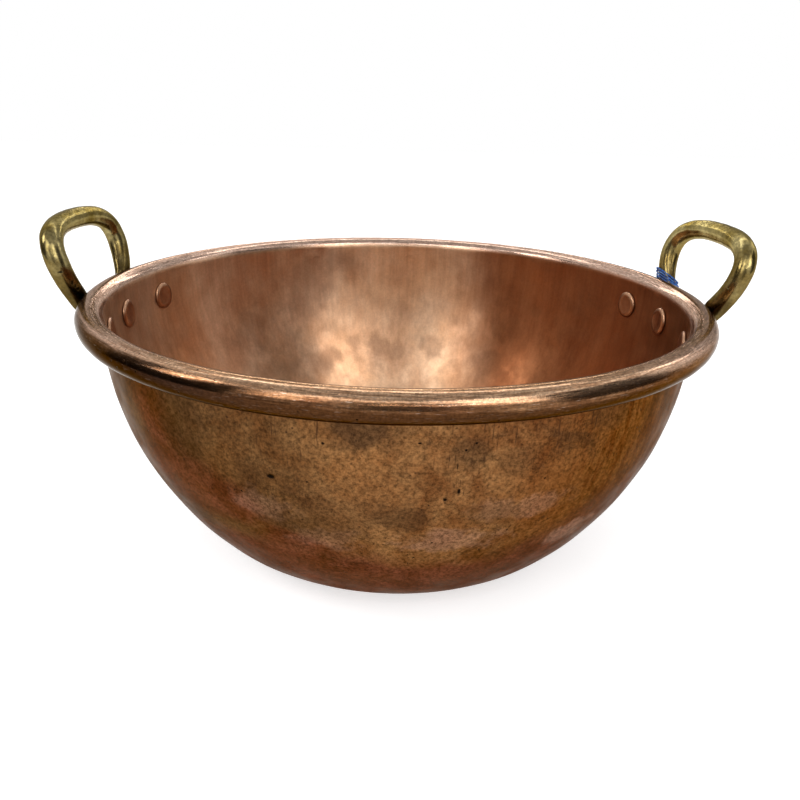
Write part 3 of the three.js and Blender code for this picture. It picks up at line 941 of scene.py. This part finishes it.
def copper_material():
    s = Copper("worn_copper")
    values = {0: s.across, 1: s.depth, 2: s.math("MULTIPLY", s.turn, 0.8)}
    along = s.node("ShaderNodeCombineXYZ", values).outputs[0]
    rubbed = s.noise(75, 5, 0.62, along)
    inside, dull = copper_inside(s)
    colour = s.mix(s.inner, copper_outside(s), inside)
    colour = s.mix(s.roll, colour, copper_roll(s, along, rubbed))
    nick = copper_nicks(s)
    colour = s.mix(nick, colour, (0.006, 0.004, 0.003))

    rough_in = s.math("ADD", s.noise(70, 5), s.math("MULTIPLY", dull, 0.3))
    rough_in = s.between(rough_in, 0.3, 0.8, *INSIDE_ROUGHNESS)
    rough_out = s.between(s.noise(70, 5), 0.3, 0.7, *OUTSIDE_ROUGHNESS)
    rough_rim = s.between(rubbed, 0.3, 0.7, *ROLL_ROUGHNESS)
    rough = s.node("ShaderNodeMix", {0: s.inner, 2: rough_out, 3: rough_in}).outputs[0]
    rough = s.node("ShaderNodeMix", {0: s.roll, 2: rough, 3: rough_rim}).outputs[0]

    skin = s.bump(s.grain, 0.03, 0.4)
    skin = s.bump(s.noise(420, 4, 0.6, along), 0.03, s.math("MULTIPLY", s.roll, 0.5), skin)
    wavy = s.math("SUBTRACT", 0.35, s.math("MULTIPLY", s.inner, 0.22))
    skin = s.bump(s.noise(150, 3, 0.5), 0.10, wavy, skin)
    return s.principled({
        "Base Color": colour,
        "Roughness": rough,
        "Metallic": s.math("SUBTRACT", 1.0, s.math("MULTIPLY", s.inner, 0.22)),
        "Specular Tint": (0.55, 0.49, 0.44),
        "Anisotropic": 0.45,
        "Tangent": scouring(s),
        "Normal": s.bump(s.math("MULTIPLY", nick, -1.0), 0.4, 0.8, skin),
    })


def brass_material():
    s = Shader("cast_brass")
    cloud = s.between(s.noise(75, 5, 0.6), 0.3, 0.7)
    colour = s.mix(cloud, (0.235, 0.167, 0.047), (0.49, 0.40, 0.180))
    split = s.node("ShaderNodeSeparateXYZ", {0: s.coords})
    across, height = split.outputs["X"], split.outputs["Z"]
    # Painted shade: the lower legs darker, and darker still at their feet by the roll.
    low = s.between(s.math("ADD", height, s.math("MULTIPLY", cloud, 0.012)), 0.182, 0.160)
    colour = s.mix(s.math("MULTIPLY", low, 0.65), colour, (0.165, 0.108, 0.032))
    dull = s.between(s.noise(42, 5, 0.65), 0.48, 0.66)
    colour = s.mix(s.math("MULTIPLY", dull, 0.5), colour, (0.11, 0.072, 0.022))
    shade_by_roll = s.between(height, 0.154, 0.147)
    colour = s.mix(s.math("MULTIPLY", shade_by_roll, 0.5), colour, (0.035, 0.022, 0.009))
    # Painted shade: the left handle darker than the right.
    colour = s.times(colour, s.between(across, -0.05, 0.05, 0.70, 0.94))
    colour = s.times(colour, s.between(s.noise(520, 4, 0.7), 0.3, 0.7, 0.72, 1.2))
    pit = s.marks(BRASS_PITS, 0.15, 900)
    colour = s.mix(pit, colour, (0.012, 0.009, 0.006))
    skin = s.bump(s.noise(900, 3, 0.6), 0.03, 0.5)
    skin = s.bump(s.noise(420, 4, 0.6), 0.10, 0.5, skin)
    return s.principled({
        "Base Color": colour,
        "Roughness": s.between(s.noise(160, 4), 0.3, 0.7, *BRASS_ROUGHNESS),
        "Metallic": 1.0,
        "Specular Tint": (0.6, 0.55, 0.45),
        "Normal": s.bump(s.math("MULTIPLY", pit, -1.0), 0.4, 0.8, skin),
    })


def rivet_material():
    s = Shader("rivet_copper")
    cloud = s.between(s.noise(110, 4, 0.6), 0.3, 0.7)
    return s.principled({
        "Base Color": s.mix(cloud, (0.34, 0.17, 0.095), (0.50, 0.29, 0.175)),
        "Roughness": s.between(s.noise(200, 3), 0.3, 0.7, *RIVET_ROUGHNESS),
        "Metallic": 1.0,
        "Normal": s.bump(s.noise(500, 3, 0.6), 0.05, 0.4),
    })


def iron_material():
    s = Shader("drawn_iron")
    cloud = s.between(s.noise(140, 4, 0.6), 0.3, 0.7)
    return s.principled({
        "Base Color": s.mix(cloud, (0.09, 0.075, 0.065), (0.16, 0.11, 0.08)),
        "Roughness": s.between(s.noise(300, 3), 0.3, 0.7, *IRON_ROUGHNESS),
        "Metallic": 0.9,
        "Normal": s.bump(s.noise(700, 3), 0.05, 0.5),
    })


def string_material():
    s = Shader("blue_twine")
    cloud = s.between(s.noise(620, 3, 0.6), 0.36, 0.64)
    colour = s.mix(cloud, (0.004, 0.045, 0.24), (0.022, 0.20, 0.74))
    colour = s.mix(s.between(s.noise(1000, 2), 0.56, 0.68), colour, (0.20, 0.46, 0.88))
    return s.principled({
        "Base Color": colour,
        "Roughness": s.between(cloud, 0, 1, *STRING_ROUGHNESS),
        "Sheen Weight": 0.2,
        "Normal": s.bump(s.noise(2600, 3, 0.6), 0.2, 0.7),
    })


# The object

HANDLE_SEED = 70.0
RIVET_SEED = 3.0

bowl = make_bowl()
cut_holes(bowl, [hole_cutter(a, angle) for _, a, angles in SIDES for angle in angles])
mark_bowl(bowl.data)
dress(bowl, copper_material())
pieces = [(bowl, "copper", "bowl")]
brass = brass_material()
rivet_copper = rivet_material()
for number, (side, azimuth, angles) in enumerate(SIDES):
    handle = make_handle(f"brass_handle_{side}", azimuth, angles, HANDLE_SEED * number)
    dress(handle, brass)
    pieces.append((handle, "brass", f"handle_{side}"))
    for i, angle in enumerate(angles):
        node = f"rivet_{side}_{i + 1}"
        rivet = make_rivet(f"copper_{node}", azimuth, angle, RIVET_SEED * number + i)
        dress(rivet, rivet_copper)
        pieces.append((rivet, "rivet_copper", node))
string = make_string(SIDES[0][1])
dress(string, string_material())
pieces.append((string, "blue_string", "tag_string"))
for piece, slot_name, node in pieces:
    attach(piece, "root")
    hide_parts(node)
dress(frame["nodes"]["rim_wire"], iron_material())


# Floor, world and lamps

AIM = Vector((0, 0, 0.09))
FLOOR_REACH = 6e3
FLOOR_GLOW = 0.58  # brings the floor up to white where it is looked at
WORLD_LIGHT = 0.55  # of the world's white, as light on the pot
WHITE = (1.0, 1.0, 1.0)


def floor():
    reach = FLOOR_REACH
    corners = [(-reach, -reach, 0), (reach, -reach, 0), (reach, reach, 0), (-reach, reach, 0)]
    thing = new_object("floor", corners, [(0, 1, 2, 3)])
    s = Shader("pale_floor")
    grain = s.between(s.noise(40, 3), 0.3, 0.7, 0.78, 0.80)
    matt = s.node("ShaderNodeBsdfDiffuse", {"Color": s.mix(grain, (0, 0, 0), (1, 1, 1))})
    glow = s.node("ShaderNodeEmission", {"Color": WHITE, "Strength": FLOOR_GLOW})
    both = s.node("ShaderNodeAddShader", {0: matt.outputs[0], 1: glow.outputs[0]})
    values = {0: s.looked_at(), 1: matt.outputs[0], 2: both.outputs[0]}
    mixed = s.node("ShaderNodeMixShader", values)
    dress(thing, s.finish(mixed.outputs[0]))


def world():
    made = bpy.data.worlds.new("studio")
    bpy.context.scene.world = made
    s = Nodes(made, "ShaderNodeOutputWorld")
    light = s.node("ShaderNodeBackground", {"Color": WHITE, "Strength": WORLD_LIGHT})
    view = s.node("ShaderNodeBackground", {"Color": WHITE, "Strength": 1.0})
    values = {0: s.looked_at(), 1: light.outputs[0], 2: view.outputs[0]}
    mixed = s.node("ShaderNodeMixShader", values)
    s.finish(mixed.outputs[0])


def facing_pot(name, data, azimuth, elevation, distance):
    """An object turned to the pot, with azimuth 0 on the camera's side and 90 on the right."""
    a, e = math.radians(azimuth), math.radians(elevation)
    way = Vector((math.sin(a) * math.cos(e), -math.cos(a) * math.cos(e), math.sin(e)))
    thing = bpy.data.objects.new(name, data)
    bpy.context.scene.collection.objects.link(thing)
    thing.location = AIM + way * distance
    thing.rotation_euler = (AIM - thing.location).to_track_quat("-Z", "Y").to_euler()
    return thing


def soft_box(name, azimuth, elevation, distance, width, height, radiance):
    light = bpy.data.lights.new(name, "AREA")
    light.shape = "RECTANGLE"
    light.size = width
    light.size_y = height
    light.energy = radiance * math.pi * width * height
    facing_pot(name, light, azimuth, elevation, distance)


def grey_card(name, azimuth, elevation, distance, width, height, shade):
    """Something for the metal to mirror, which the camera doesn't see and which casts no shadow."""
    x, y = width / 2, height / 2
    mesh = bpy.data.meshes.new(name)
    mesh.from_pydata([(-x, -y, 0), (x, -y, 0), (x, y, 0), (-x, y, 0)], [], [(0, 1, 2, 3)])
    thing = facing_pot(name, mesh, azimuth, elevation, distance)
    thing.visible_camera = False
    thing.visible_diffuse = False
    thing.visible_shadow = False
    s = Shader(name)
    glow = s.node("ShaderNodeEmission", {"Color": (shade, shade, shade), "Strength": 1.0})
    dress(thing, s.finish(glow.outputs[0]))


# Name, azimuth, elevation, distance, width, height and radiance, in degrees and metres
LAMPS = (
    ("lamp_front_right", 37, 38, 1.9, 0.66, 1.2, 2.9),
    ("lamp_front_left", -37, 38, 1.9, 0.66, 1.2, 2.9),
    ("lamp_right", 117, 32, 1.6, 0.18, 0.26, 3.2),
    ("lamp_left", -80, 36, 1.6, 0.30, 0.56, 8.5),
    ("lamp_over", 0, 47, 1.9, 1.6, 0.22, 1.7),
    ("lamp_front_line", 11, 30, 1.65, 0.95, 0.055, 10.0),
    ("lamp_back", 180, 60, 1.9, 2.4, 0.22, 3.2),
    ("lamp_low_back", 180, 25, 1.6, 1.8, 0.07, 8.5),
)
# The same for the cards, with their shade at the end
CARDS = (
    ("card_front", 0, 14, 1.7, 0.75, 1.4, 0.30),
    ("card_right", 72, 20, 1.7, 1.3, 1.6, 0.10),
    ("card_left", -78, 20, 1.7, 1.7, 1.6, 0.10),
    ("card_back_right", 145, 25, 1.7, 1.4, 1.6, 0.5),
    ("card_back_left", -150, 25, 1.7, 1.0, 1.6, 0.75),
    ("card_top", 0, 90, 2.4, 3.4, 3.4, 0.55),
)

floor()
world()
for lamp in LAMPS:
    soft_box(*lamp)
for card in CARDS:
    grey_card(*card)


# Camera

# As solved from the photo, with angles in radians and the focal length in the picture's pixels
SOLVED_RIM = 180.0
CAMERA_AWAY = 2.4 * SOLVED_RIM
CAMERA_DOWN = 0.3965
CAMERA_SINK = -0.3868 * SOLVED_RIM
CAMERA_YAW = 0.0062
CAMERA_ROLL = 0.0234
CAMERA_SWING = math.radians(0.583)
FOCAL_PIXELS = 662.5
PICTURE = 800
SENSOR_WIDTH = 36

ahead = Vector((0, math.cos(CAMERA_DOWN), -math.sin(CAMERA_DOWN)))
right = Vector((1, 0, 0))
up = right.cross(ahead)
ahead = math.cos(CAMERA_YAW) * ahead + math.sin(CAMERA_YAW) * right
right = ahead.cross(up)
tilted_right = math.cos(CAMERA_ROLL) * right + math.sin(CAMERA_ROLL) * up
up = tilted_right.cross(ahead)
swing = Matrix.Rotation(-CAMERA_SWING, 3, "Z")
axes = Matrix((swing @ tilted_right, swing @ up, swing @ -ahead)).transposed()
stand = swing @ Vector((
    0,
    -CAMERA_AWAY * math.cos(CAMERA_DOWN),
    CAMERA_AWAY * math.sin(CAMERA_DOWN) + CAMERA_SINK,
))
camera_data = bpy.data.cameras.new("camera")
camera_data.sensor_width = SENSOR_WIDTH
camera_data.lens = FOCAL_PIXELS / PICTURE * SENSOR_WIDTH
camera_data.clip_start = 0.01
camera = bpy.data.objects.new("camera", camera_data)
bpy.context.scene.collection.objects.link(camera)
stand.z += ROLL_HEIGHT
camera.matrix_world = Matrix.Translation(stand * MM) @ axes.to_4x4()
bpy.context.scene.camera = camera
bpy.context.scene.view_settings.view_transform = "Standard"
